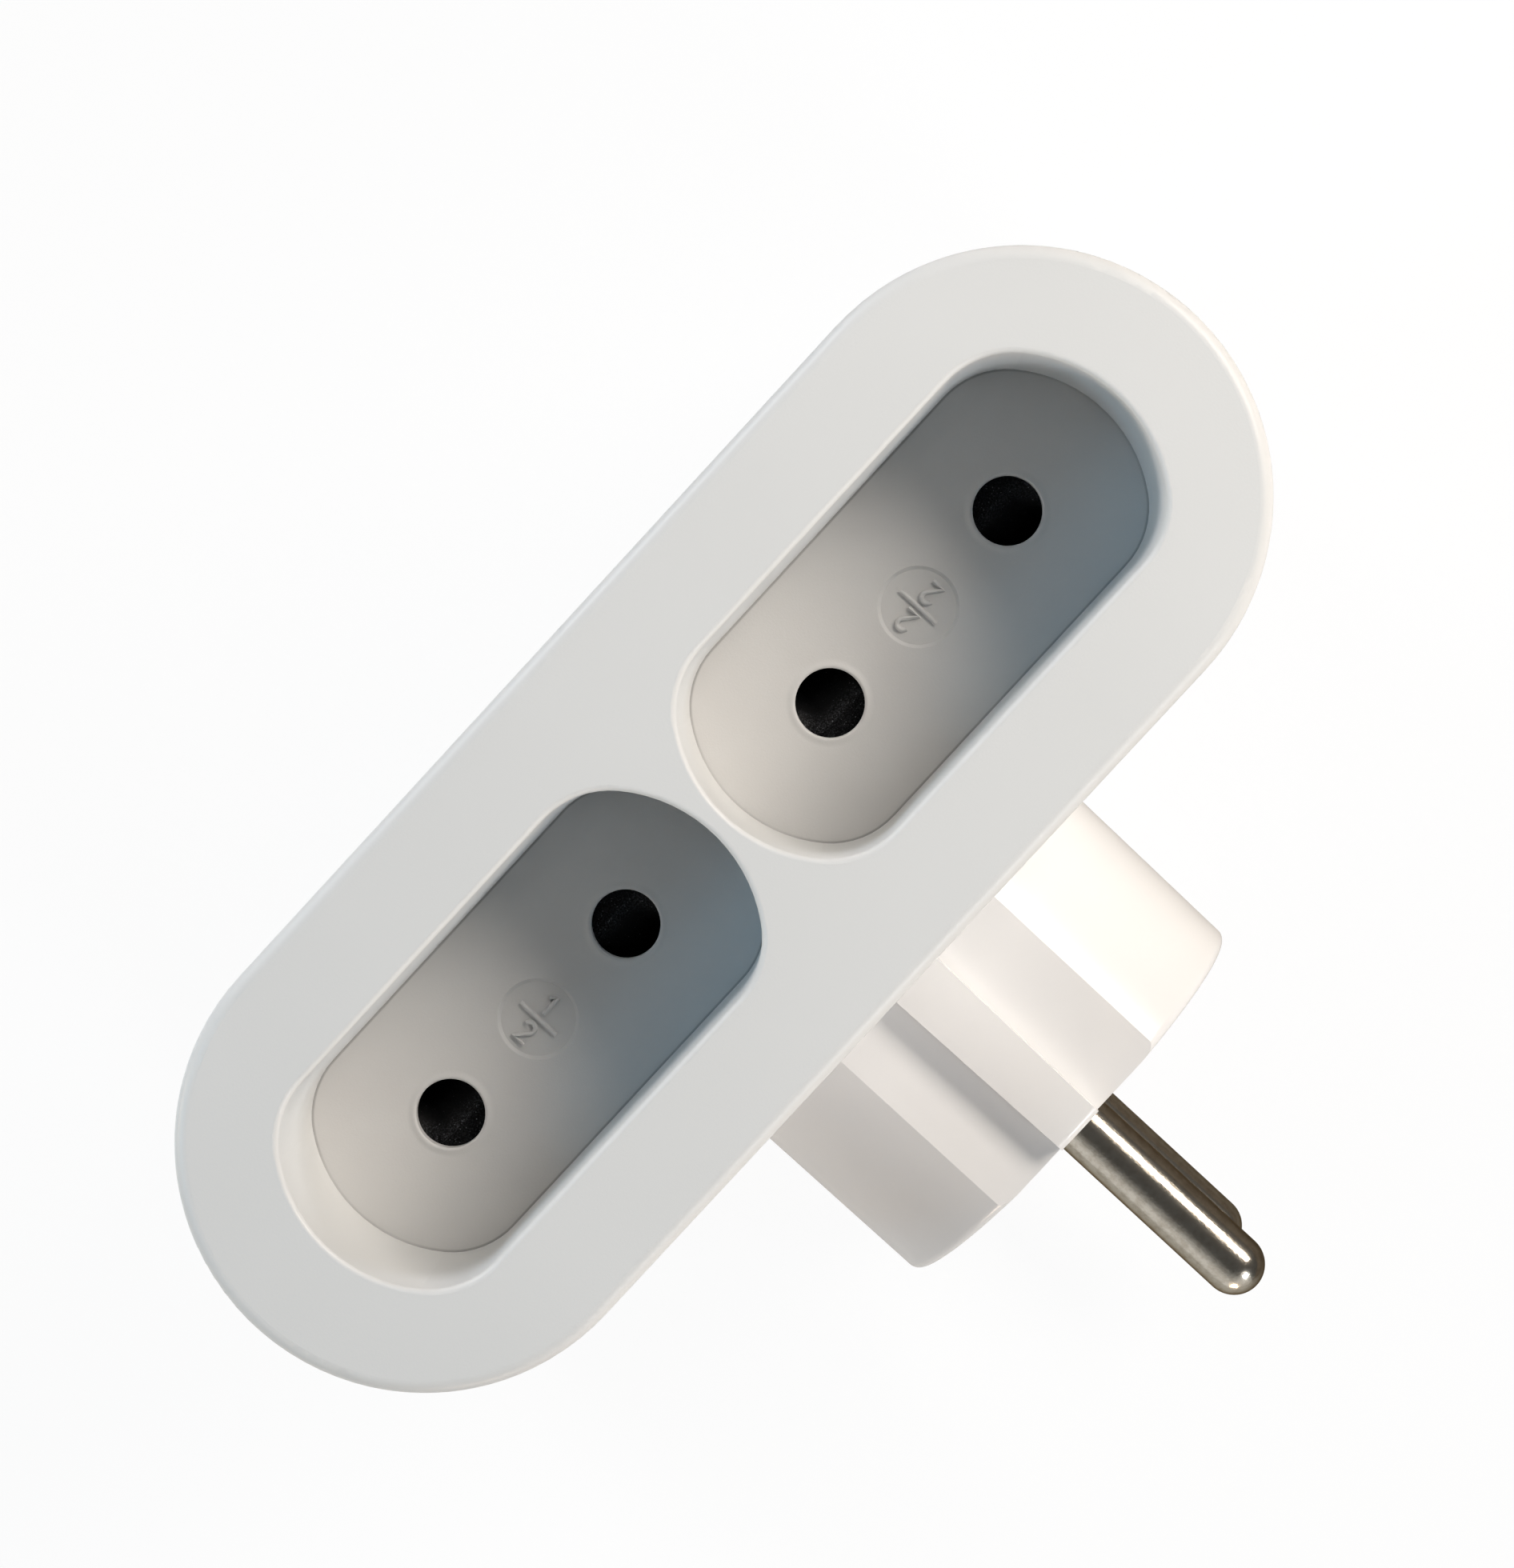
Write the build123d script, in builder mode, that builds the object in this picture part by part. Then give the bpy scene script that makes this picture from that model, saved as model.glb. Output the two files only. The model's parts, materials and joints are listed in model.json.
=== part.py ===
from build123d import *
import os
from math import cos, radians, sin, tan

# A two-way socket adapter. Millimetres, +Z up. The body stands on its back face with the
# sockets facing up. +X runs along the row of sockets, the plug and its pins leave along -Y,
# and the origin is the middle of the back face.

# Body: a long round-ended block in two halves that meet at the height of the plug's axis
body_height = 60.0
end_margin = 7.75
side_margin = 8.2
wall = 2.2
front_edge_radius = 1.0
back_edge_radius = 1.5
seam_chamfer = 0.3
lap_height = 2.0
lap_thickness = 1.0
lap_clearance = 0.1

# Sockets: two long recesses, each with two pin holes in its floor
pin_pitch = 19.0
recess_length = 39.5
recess_width = 18.4
recess_depth = 15.0
recess_web = 1.5
recess_end_radius = 11.0
recess_corner_radius = 6.4
recess_draft = 0.75
recess_rim_radius = 0.4
recess_wall = 1.4
floor_seam = 0.15

# Socket plates: the recess floors, seated against the recess walls from below
plate_thickness = 1.0
plate_gap = 0.2
plate_clearance = 0.3
pin_hole_diameter = 5.1
disc_diameter = 6.0
disc_depth = 0.25
disc_slope = 45.0
foot_diameter = 3.0
foot_inset_x = 4.25
foot_inset_y = 3.2

# Shutters: sprung rotors that close both holes of a socket until two pins push in together
shutter_angle = 38.0
shutter_gap = 0.1
shutter_thickness = 3.0
shutter_margin = 0.7
shutter_hub_diameter = 10.4
ramp_depth = 2.2
ramp_land = 1.2
ramp_end_depth = 0.15
ramp_end_slope = 1.6
pivot_diameter = 3.6
pivot_clearance = 0.04
pivot_end = 0.6
sleeve_diameter = 5.0
sleeve_drop = 1.6
stop_diameter = 2.0
stop_clearance = 0.1
rest_stop_reach = 6.5
open_stop_reach = 7.0
washer_diameter = 7.0
washer_thickness = 0.5
washer_gap = 0.1

# Return springs: a wire hairpin round each shutter's sleeve
wire_diameter = 0.5
wire_clearance = 0.15
spring_leg = 6.0
spring_post_diameter = 2.0
spring_lug_diameter = 1.4
spring_lug_margin = 0.7
spring_lug_height = 1.0
spring_contact = 0.02
spring_bearing = 4.8

# Contacts: sprung clips riveted to two strips that lead to the plug pins
carrier_gap = 0.5
carrier_height = 14.1
carrier_floor = 1.5
carrier_width = 23.0
carrier_end = 0.1
clip_thickness = 0.6
clip_height = 8.0
clip_grip_radius = 1.8
clip_grip_angle = 40.0
clip_shoulder = 2.9
clip_mouth_width = 5.2
clip_mouth_reach = 3.0
clip_pocket_width = 8.4
clip_pocket_reach = 4.8
clip_pocket_room = 1.8
bus_offset = 8.0
bus_thickness = 0.8
bus_height = 6.0
bus_overhang = 4.0
bus_clearance = 0.15
bus_bend_radius = 1.2
bus_tab_margin = 3.2
bus_leg_width = 5.6
rivet_diameter = 2.0
rivet_head_diameter = 3.6
rivet_head_height = 0.6
rivet_clearance = 0.05
rivet_room = 0.8

# Plug: a round base with flats and a middle rib at both ends of the pin line
plug_axis_height = 20.3
plug_reach = 18.2
plug_diameter = 36.5
plug_flat_depth = 2.1
plug_rib_width = 4.5
plug_draft = 0.8
plug_edge_radius = 0.7
plug_neck_diameter = 26.0
plug_flange_diameter = 30.0
plug_flange_thickness = 2.5
plug_clearance = 0.1
plug_pin_diameter = 4.8
plug_pin_length = 19.0
plug_pin_clearance = 0.05
plug_pin_shank_diameter = 4.2
plug_pin_collar_diameter = 6.0
plug_pin_stub_diameter = 2.5
plug_pin_head_diameter = 3.6
plug_pin_head_height = 0.8

# Housing screws: one at each end, driven from the back
screw_inset = 5.0
screw_diameter = 2.9
screw_length = 22.0
screw_head_diameter = 5.6
screw_head_height = 2.2
screw_head_clearance = 0.2
screw_seat_depth = 9.0
screw_clearance = 0.05
screw_slot_width = 0.9
screw_slot_length = 3.6
screw_slot_depth = 1.0
screw_hole_reserve = 3.0
screw_boss_diameter = 6.5
screw_column_diameter = 8.0

# Ribs of the rear half that carry the contact carriers
rib_thickness = 1.6
rib_pitch_inner = 18.0
rib_pitch_outer = 66.0
rib_length = 22.0

# Lengths that follow from the sizes above
socket_pitch = recess_length + recess_web
body_length = socket_pitch + recess_length + 2 * end_margin
body_width = recess_width + 2 * side_margin
screw_pitch = body_length - 2 * screw_inset
foot_pitch_x = recess_length - 2 * foot_inset_x
foot_pitch_y = recess_width - 2 * foot_inset_y
upper_pin_height = plug_axis_height + pin_pitch / 2
lower_pin_height = plug_axis_height - pin_pitch / 2

# Levels above the back face
seam_height = plug_axis_height
floor_height = body_height - recess_depth
plate_bottom = floor_height - plate_thickness
shutter_top = plate_bottom - shutter_gap
shutter_bottom = shutter_top - shutter_thickness
sleeve_bottom = shutter_bottom - sleeve_drop
washer_top = sleeve_bottom - washer_gap
washer_bottom = washer_top - washer_thickness
pivot_bottom = washer_bottom - pivot_end
carrier_top = pivot_bottom - carrier_gap
carrier_bottom = carrier_top - carrier_height
pocket_bottom = carrier_bottom + carrier_floor
bus_bottom = pocket_bottom + clip_pocket_room
bus_middle = bus_bottom + bus_height / 2
screw_hole_top = screw_seat_depth + screw_length + screw_hole_reserve
spring_height = shutter_bottom - wire_clearance - wire_diameter / 2
spring_radius = sleeve_diameter / 2 + wire_diameter / 2 + wire_clearance

# Reaches from the middle of a socket, a hole or the body
shutter_arm_radius = pin_hole_diameter / 2 + shutter_margin
plate_outset = (socket_pitch - recess_length - plate_gap) / 2
plug_seat = body_width / 2
plug_face = plug_seat + plug_reach
flange_face = plug_seat - wall - plug_flange_thickness
bus_outer = bus_offset + bus_thickness / 2
bus_inner = bus_offset - bus_thickness / 2
carrier_length = foot_pitch_x + foot_diameter + 2 * carrier_end
clip_reach = pin_pitch / 2

# Frames: one on each socket's floor, the right one turned half round
socket_frames = {
    "left": Plane(origin=(-socket_pitch / 2, 0, floor_height), x_dir=(1, 0, 0), z_dir=(0, 0, 1)),
    "right": Plane(origin=(socket_pitch / 2, 0, floor_height), x_dir=(-1, 0, 0), z_dir=(0, 0, 1)),
}
plug_frame = Plane(origin=(0, 0, plug_axis_height), x_dir=(1, 0, 0), z_dir=(0, -1, 0))
half_turn = (0, 0, 180)


def at_height(frame, height):
    """A socket's frame moved to a height above the back face."""
    return frame.offset(height - floor_height)


def save(builder, name):
    """Label a finished piece and write it."""
    builder.part.label = name
    export_step(builder.part, f"parts/{name}.step")


os.makedirs("parts", exist_ok=True)

# Outlines shared by several pieces
with BuildSketch() as recess_outline:
    SlotCenterToCenter(recess_length - 2 * recess_end_radius, 2 * recess_end_radius)
    Rectangle(recess_length, recess_width, mode=Mode.INTERSECT)
    fillet(recess_outline.vertices(), radius=recess_corner_radius)

with BuildSketch() as recess_wall_outline:
    add(recess_outline.sketch)
    offset(amount=recess_wall, mode=Mode.REPLACE)

with BuildSketch() as plate_outline:
    add(recess_outline.sketch)
    offset(amount=plate_outset, mode=Mode.REPLACE)

with BuildSketch() as plate_seat_outline:
    add(plate_outline.sketch)
    offset(amount=plate_clearance, mode=Mode.REPLACE)


def body_outline(inset=0.0):
    """The body's round-ended outline, drawn in from its outer face."""
    return SlotOverall(body_length - 2 * inset, body_width - 2 * inset)


def lap_ring(outer_inset, inner_inset):
    """A band that follows the body's outline between two insets."""
    body_outline(outer_inset)
    SlotOverall(body_length - 2 * inner_inset, body_width - 2 * inner_inset, mode=Mode.SUBTRACT)


# Front cover: shell with the two recesses and the bosses that take the screws
with BuildPart() as front_cover:
    with BuildSketch(Plane.XY.offset(seam_height)):
        body_outline()
    extrude(amount=body_height - seam_height)
    fillet(front_cover.faces().sort_by(Axis.Z)[-1].edges(), radius=front_edge_radius)
    chamfer(front_cover.faces().sort_by(Axis.Z)[0].edges(), length=seam_chamfer)
    with BuildSketch(Plane.XY.offset(seam_height)):
        body_outline(wall)
    extrude(amount=body_height - wall - seam_height, mode=Mode.SUBTRACT)
    with BuildSketch(Plane.XY.offset(floor_height)):
        with GridLocations(socket_pitch, 0, 2, 1):
            add(recess_wall_outline.sketch)
    extrude(amount=recess_depth - wall)
    with BuildSketch(Plane.XY.offset(seam_height)):
        with GridLocations(screw_pitch, 0, 2, 1):
            Circle(screw_boss_diameter / 2)
    extrude(amount=body_height - wall - seam_height)
    with BuildSketch(Plane.XY.offset(floor_height)):
        with GridLocations(socket_pitch, 0, 2, 1):
            add(plate_seat_outline.sketch)
    extrude(amount=-plate_thickness - plate_clearance, mode=Mode.SUBTRACT)
    with BuildSketch(Plane.XY.offset(body_height)):
        with GridLocations(socket_pitch, 0, 2, 1):
            add(recess_outline.sketch)
    extrude(amount=-recess_depth, taper=recess_draft, mode=Mode.SUBTRACT)
    rims = front_cover.faces().sort_by(Axis.Z)[-1].inner_wires()
    fillet([edge for rim in rims for edge in rim.edges()], radius=recess_rim_radius)
    plate_seat = front_cover.faces().filter_by(Plane.XY).sort_by_distance((0, 0, floor_height))[0]
    feet = plate_seat.inner_wires()
    chamfer([edge for foot in feet for edge in foot.edges()], length=floor_seam)
    with BuildSketch(Plane.XY.offset(seam_height)):
        lap_ring(wall - lap_thickness - lap_clearance, wall + lap_clearance)
    extrude(amount=lap_height + lap_clearance, mode=Mode.SUBTRACT)
    with BuildSketch(Plane.XY.offset(seam_height)):
        with GridLocations(screw_pitch, 0, 2, 1):
            Circle(screw_diameter / 2 + screw_clearance)
    extrude(amount=screw_hole_top - seam_height, mode=Mode.SUBTRACT)
    with BuildSketch(plug_frame.offset(plug_seat)):
        Circle(plug_neck_diameter / 2 + plug_clearance)
    extrude(amount=-wall, mode=Mode.SUBTRACT)
save(front_cover, "front_cover")

# Rear housing: tray with a lap rim, the ribs under the carriers and the screw columns
with BuildPart() as rear_housing:
    with BuildSketch():
        body_outline()
    extrude(amount=seam_height)
    fillet(rear_housing.faces().sort_by(Axis.Z)[0].edges(), radius=back_edge_radius)
    chamfer(rear_housing.faces().sort_by(Axis.Z)[-1].edges(), length=seam_chamfer)
    with BuildSketch(Plane.XY.offset(wall)):
        body_outline(wall)
    extrude(amount=seam_height - wall, mode=Mode.SUBTRACT)
    with BuildSketch(Plane.XY.offset(seam_height)):
        lap_ring(wall - lap_thickness, wall)
    extrude(amount=lap_height)
    with BuildSketch(Plane.XY.offset(wall)):
        with GridLocations(screw_pitch, 0, 2, 1):
            Circle(screw_column_diameter / 2)
    extrude(amount=seam_height - wall)
    with BuildSketch(Plane.XY.offset(wall)):
        with GridLocations(rib_pitch_inner, 0, 2, 1):
            Rectangle(rib_thickness, rib_length)
        with GridLocations(rib_pitch_outer, 0, 2, 1):
            Rectangle(rib_thickness, rib_length)
    extrude(amount=carrier_bottom - wall)
    with BuildSketch(plug_frame.offset(plug_seat)):
        Circle(plug_neck_diameter / 2 + plug_clearance)
    extrude(amount=-wall, mode=Mode.SUBTRACT)
    with Locations(Plane.XY.rotated((180, 0, 0))):
        with GridLocations(screw_pitch, 0, 2, 1):
            CounterBoreHole(
                radius=screw_diameter / 2 + screw_clearance,
                counter_bore_radius=screw_head_diameter / 2 + screw_head_clearance,
                counter_bore_depth=screw_seat_depth,
                depth=seam_height,
            )
save(rear_housing, "rear_housing")

# Housing screws: pan heads with a cross slot
with BuildPart() as housing_screws:
    head_plane = Plane.XY.offset(screw_seat_depth - screw_head_height)
    with BuildSketch(head_plane):
        with GridLocations(screw_pitch, 0, 2, 1):
            Circle(screw_head_diameter / 2)
    extrude(amount=screw_head_height)
    fillet(housing_screws.edges().group_by(Axis.Z)[0], radius=screw_head_height / 2)
    with BuildSketch(Plane.XY.offset(screw_seat_depth)):
        with GridLocations(screw_pitch, 0, 2, 1):
            Circle(screw_diameter / 2)
    extrude(amount=screw_length)
    with BuildSketch(head_plane):
        with GridLocations(screw_pitch, 0, 2, 1):
            Rectangle(screw_slot_length, screw_slot_width)
            Rectangle(screw_slot_width, screw_slot_length)
    extrude(amount=screw_slot_depth, mode=Mode.SUBTRACT)
save(housing_screws, "housing_screws")

# Socket plates: floor with pin holes, a sunk disc, the shutter's pivot, its stops and four feet
stop_offset = shutter_arm_radius + stop_clearance + stop_diameter / 2
open_angle = radians(shutter_angle)
rest_stop = (rest_stop_reach, -stop_offset)
open_stop = (
    open_stop_reach * cos(open_angle) - stop_offset * sin(open_angle),
    open_stop_reach * sin(open_angle) + stop_offset * cos(open_angle),
)
for side, frame in socket_frames.items():
    under = at_height(frame, plate_bottom)
    with BuildPart() as socket_plate:
        with BuildSketch(under):
            add(plate_outline.sketch)
            with GridLocations(pin_pitch, 0, 2, 1):
                Circle(pin_hole_diameter / 2, mode=Mode.SUBTRACT)
        extrude(amount=plate_thickness)
        with BuildSketch(frame):
            Circle(disc_diameter / 2)
        extrude(amount=-disc_depth, taper=disc_slope, mode=Mode.SUBTRACT)
        with BuildSketch(under):
            with GridLocations(foot_pitch_x, foot_pitch_y, 2, 2):
                Circle(foot_diameter / 2)
        extrude(amount=carrier_top - plate_bottom)
        with BuildSketch(under):
            Circle(pivot_diameter / 2)
        extrude(amount=pivot_bottom - plate_bottom)
        with BuildSketch(under):
            with Locations(rest_stop, open_stop):
                Circle(stop_diameter / 2)
        extrude(amount=shutter_bottom - plate_bottom)
    save(socket_plate, f"socket_plate_{side}")

# Shutters: a rotor with two arms, each with a ramp that a pin pushes aside
spring_side = spring_radius + wire_diameter / 2 + spring_contact
spring_lug = (-spring_side - spring_lug_diameter / 2, -spring_bearing)
ramp_start = clip_reach - shutter_arm_radius
ramp_end = clip_reach + pin_hole_diameter / 2
for side, frame in socket_frames.items():
    under = at_height(frame, shutter_bottom)
    with BuildPart() as shutter:
        with BuildSketch(under):
            SlotCenterToCenter(pin_pitch, 2 * shutter_arm_radius)
            Circle(shutter_hub_diameter / 2)
            with Locations(spring_lug):
                Circle(spring_lug_diameter / 2 + spring_lug_margin)
        extrude(amount=shutter_thickness)
        for turn in ((0, 0, 0), half_turn):
            arm = at_height(frame, shutter_top).rotated(turn)
            across = Plane(origin=arm.origin, x_dir=arm.y_dir, z_dir=arm.x_dir)
            with BuildSketch(across.offset(ramp_start)) as ramp_foot:
                with BuildLine():
                    Polyline(
                        (ramp_land, 0),
                        (-shutter_arm_radius, 0),
                        (-shutter_arm_radius, -ramp_depth),
                        close=True,
                    )
                make_face()
            extrude(amount=ramp_end - ramp_end_slope - ramp_start, mode=Mode.SUBTRACT)
            with BuildSketch(across.offset(ramp_end - ramp_end_slope)):
                add(ramp_foot.sketch_local)
            with BuildSketch(across.offset(ramp_end)):
                with BuildLine():
                    Polyline(
                        (ramp_land, 0),
                        (-shutter_arm_radius, 0),
                        (-shutter_arm_radius, -ramp_end_depth),
                        close=True,
                    )
                make_face()
            loft(mode=Mode.SUBTRACT)
        with BuildSketch(under):
            Circle(sleeve_diameter / 2)
        extrude(amount=-sleeve_drop)
        with BuildSketch(under):
            with Locations(spring_lug):
                Circle(spring_lug_diameter / 2)
        extrude(amount=-spring_lug_height)
        with BuildSketch(at_height(frame, shutter_top)):
            Circle(pivot_diameter / 2 + pivot_clearance)
        extrude(amount=sleeve_bottom - shutter_top, mode=Mode.SUBTRACT)
    save(shutter, f"shutter_{side}")

# Push-on washers that hold the shutters on their pivots
with BuildPart() as shutter_washers:
    with BuildSketch(Plane.XY.offset(washer_bottom)):
        with GridLocations(socket_pitch, 0, 2, 1):
            Circle(washer_diameter / 2)
            Circle(pivot_diameter / 2 + pivot_clearance, mode=Mode.SUBTRACT)
    extrude(amount=washer_thickness)
save(shutter_washers, "shutter_washers")

# Return springs: one leg bears on the shutter's lug, the other on the carrier's post
for side, frame in socket_frames.items():
    with BuildPart() as shutter_spring:
        with BuildLine(at_height(frame, spring_height)) as hairpin:
            Line((-spring_radius, -spring_leg), (-spring_radius, 0))
            ThreePointArc((-spring_radius, 0), (0, spring_radius), (spring_radius, 0))
            Line((spring_radius, 0), (spring_radius, -spring_leg))
        with BuildSketch(Plane(origin=hairpin.line @ 0, z_dir=hairpin.line % 0)):
            Circle(wire_diameter / 2)
        sweep()
    save(shutter_spring, f"shutter_spring_{side}")

# Contact carriers: insulating blocks with a pocket for each clip and slots for the strips
spring_post = (spring_side + spring_post_diameter / 2, -spring_bearing)
slot_width = bus_thickness + 2 * bus_clearance
pocket_back = bus_outer + rivet_head_height + rivet_room
for side, frame in socket_frames.items():
    with BuildPart() as contact_carrier:
        with BuildSketch(at_height(frame, carrier_bottom)):
            Rectangle(carrier_length, carrier_width)
        extrude(amount=carrier_height)
        for turn in ((0, 0, 0), half_turn):
            pocket_frame = at_height(frame, pocket_bottom).rotated(turn)
            with BuildSketch(pocket_frame):
                with Locations((-clip_reach, (pocket_back - clip_pocket_reach) / 2)):
                    Rectangle(clip_pocket_width, pocket_back + clip_pocket_reach)
            extrude(amount=carrier_top - pocket_bottom, mode=Mode.SUBTRACT)
        outer_end = -clip_reach - bus_overhang - bus_clearance
        inner_end = clip_reach - bus_overhang - bus_clearance
        carrier_edge = carrier_length / 2
        with BuildSketch(at_height(frame, bus_bottom)):
            with Locations(((carrier_edge + outer_end) / 2, bus_offset)):
                Rectangle(carrier_edge - outer_end, slot_width)
            with Locations(((carrier_edge + inner_end) / 2, -bus_offset)):
                Rectangle(carrier_edge - inner_end, slot_width)
        extrude(amount=carrier_top - bus_bottom, mode=Mode.SUBTRACT)
        with BuildSketch(at_height(frame, carrier_top)):
            with Locations(spring_post):
                Circle(spring_post_diameter / 2)
        extrude(amount=spring_height + wire_diameter / 2 - carrier_top)
    save(contact_carrier, f"contact_carrier_{side}")

# Contact clips: a bent strip whose two leaves grip a round pin
web_reach = bus_inner - clip_thickness / 2
grip_radius = clip_grip_radius + clip_thickness / 2
grip_x = grip_radius * cos(radians(clip_grip_angle))
grip_y = grip_radius * sin(radians(clip_grip_angle))
mouth_x = (clip_mouth_width + clip_thickness) / 2
clip_sides = {"outer": -1, "inner": 1}


def hole_frame(frame, direction, height):
    """A frame on a pin hole's axis, with its own +Y towards the strip that feeds the hole."""
    centre = frame.from_local_coords((direction * clip_reach, 0, height - floor_height))
    return Plane(origin=centre, x_dir=frame.x_dir * -direction, z_dir=frame.z_dir)


for side, frame in socket_frames.items():
    for place, direction in clip_sides.items():
        hole = hole_frame(frame, direction, bus_bottom)
        with BuildPart() as contact_clip:
            with BuildSketch(hole):
                with BuildLine():
                    Polyline((0, web_reach), (clip_shoulder, web_reach), (grip_x, grip_y))
                    ThreePointArc((grip_x, grip_y), (grip_radius, 0), (grip_x, -grip_y))
                    Line((grip_x, -grip_y), (mouth_x, -clip_mouth_reach))
                    mirror(about=Plane.YZ)
                trace(line_width=clip_thickness)
            extrude(amount=clip_height)
            axis = hole_frame(frame, direction, bus_middle)
            web = Plane(origin=axis.origin, x_dir=axis.x_dir, z_dir=axis.y_dir)
            with BuildSketch(web.offset(bus_inner)):
                Circle(rivet_diameter / 2 + rivet_clearance)
            extrude(amount=-clip_thickness, mode=Mode.SUBTRACT)
        save(contact_clip, f"contact_clip_{side}_{place}")

# Rivets: one through the web of each clip and its strip
rivet_places = []
for frame in socket_frames.values():
    for direction in clip_sides.values():
        axis = hole_frame(frame, direction, bus_middle)
        rivet_places.append(Plane(origin=axis.origin, x_dir=axis.x_dir, z_dir=axis.y_dir))
rivet_web = bus_inner - clip_thickness
with BuildPart() as contact_rivets:
    for place in rivet_places:
        with BuildSketch(place.offset(rivet_web - rivet_head_height)):
            Circle(rivet_head_diameter / 2)
        extrude(amount=rivet_head_height)
        with BuildSketch(place.offset(rivet_web)):
            Circle(rivet_diameter / 2)
        extrude(amount=bus_outer - rivet_web)
        with BuildSketch(place.offset(bus_outer)):
            Circle(rivet_head_diameter / 2)
        extrude(amount=rivet_head_height)
save(contact_rivets, "contact_rivets")

# Live strip: joins the left outer and right inner clips, with a leg down to the lower pin
socket_left = -socket_pitch / 2
socket_right = socket_pitch / 2
leg_bottom = lower_pin_height - bus_tab_margin - bus_bend_radius
strip_plane = Plane(origin=(0, 0, bus_middle), x_dir=(1, 0, 0), z_dir=(0, -1, 0))
strip_hole = rivet_diameter / 2 + rivet_clearance
stub_hole = plug_pin_stub_diameter / 2 + plug_pin_clearance
with BuildPart() as live_bus_bar:
    live_start = socket_left - clip_reach
    live_end = socket_right - clip_reach
    with BuildSketch(strip_plane.offset(-bus_outer)):
        with Locations(((live_start + live_end) / 2, 0)):
            Rectangle(live_end - live_start + 2 * bus_overhang, bus_height)
        with Locations((live_start, 0), (live_end, 0)):
            Circle(strip_hole, mode=Mode.SUBTRACT)
    extrude(amount=bus_thickness)
    with BuildSketch(Plane.YZ.offset(-bus_leg_width / 2)):
        with BuildLine():
            FilletPolyline(
                (bus_offset, bus_middle),
                (bus_offset, leg_bottom),
                (-bus_offset, leg_bottom),
                (-bus_offset, lower_pin_height + bus_tab_margin),
                radius=bus_bend_radius,
            )
        trace(line_width=bus_thickness)
    extrude(amount=bus_leg_width)
    with BuildSketch(plug_frame.offset(bus_inner)):
        with Locations((0, -pin_pitch / 2)):
            Circle(stub_hole)
    extrude(amount=bus_thickness, mode=Mode.SUBTRACT)
save(live_bus_bar, "live_bus_bar")

# Neutral strip: joins the left inner and right outer clips, with a tab that takes the upper pin
with BuildPart() as neutral_bus_bar:
    neutral_start = socket_left + clip_reach
    neutral_end = socket_right + clip_reach
    tab_rise = upper_pin_height - bus_middle
    with BuildSketch(strip_plane.offset(bus_inner)):
        with Locations(((neutral_start + neutral_end) / 2, 0)):
            Rectangle(neutral_end - neutral_start + 2 * bus_overhang, bus_height)
        with Locations((0, tab_rise / 2)):
            Rectangle(bus_leg_width, abs(tab_rise) + 2 * bus_tab_margin)
        with Locations((neutral_start, 0), (neutral_end, 0)):
            Circle(strip_hole, mode=Mode.SUBTRACT)
        with Locations((0, tab_rise)):
            Circle(stub_hole, mode=Mode.SUBTRACT)
    extrude(amount=bus_thickness)
save(neutral_bus_bar, "neutral_bus_bar")


# Plug body: the base that enters a wall socket, with a neck and flange held by the housing
def plug_section(shrink=0.0):
    """The base's outline: a circle with flats, and a rib left standing in the middle of each."""
    radius = plug_diameter / 2 - shrink
    Rectangle(2 * radius, 2 * (radius - plug_flat_depth))
    Rectangle(plug_rib_width - 2 * shrink, 2 * radius)
    Circle(radius, mode=Mode.INTERSECT)


with BuildPart() as plug_body:
    with BuildSketch(plug_frame.offset(plug_seat)):
        plug_section()
    with BuildSketch(plug_frame.offset(plug_face)):
        plug_section(plug_reach * tan(radians(plug_draft)))
    loft(ruled=True)
    end_edges = plug_body.faces().sort_by(Axis.Y)[0].edges()
    fillet(end_edges.filter_by(GeomType.CIRCLE), radius=plug_edge_radius)
    with BuildSketch(plug_frame.offset(plug_seat)):
        Circle(plug_neck_diameter / 2)
    extrude(amount=-wall)
    with BuildSketch(plug_frame.offset(plug_seat - wall)):
        Circle(plug_flange_diameter / 2)
    extrude(amount=-plug_flange_thickness)
    with BuildSketch(plug_frame.offset(flange_face)):
        with GridLocations(0, pin_pitch, 1, 2):
            Circle(plug_pin_shank_diameter / 2 + plug_pin_clearance)
    extrude(amount=plug_face - flange_face, mode=Mode.SUBTRACT)
save(plug_body, "plug_body")

# Plug pins: turned, with a round tip, a thinner shank moulded into the plug body, a collar
# behind it and a riveted stub that takes the strip
pin_radius = plug_pin_diameter / 2
pin_tip = plug_face + plug_pin_length
for name, height in (("upper", upper_pin_height), ("lower", lower_pin_height)):
    profile_plane = Plane(origin=(0, 0, height), x_dir=(1, 0, 0), z_dir=(0, 0, -1))
    with BuildPart() as plug_pin:
        with BuildSketch(profile_plane):
            with BuildLine():
                Polyline(
                    (0, pin_tip),
                    (0, bus_inner - plug_pin_head_height),
                    (plug_pin_head_diameter / 2, bus_inner - plug_pin_head_height),
                    (plug_pin_head_diameter / 2, bus_inner),
                    (plug_pin_stub_diameter / 2, bus_inner),
                    (plug_pin_stub_diameter / 2, bus_outer),
                    (plug_pin_collar_diameter / 2, bus_outer),
                    (plug_pin_collar_diameter / 2, flange_face),
                    (plug_pin_shank_diameter / 2, flange_face),
                    (plug_pin_shank_diameter / 2, plug_face),
                    (pin_radius, plug_face),
                    (pin_radius, pin_tip - pin_radius),
                )
                RadiusArc((pin_radius, pin_tip - pin_radius), (0, pin_tip), -pin_radius)
            make_face()
        revolve(axis=Axis(profile_plane.origin, profile_plane.y_dir))
    save(plug_pin, f"plug_pin_{name}")
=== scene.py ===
import json
import math

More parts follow.
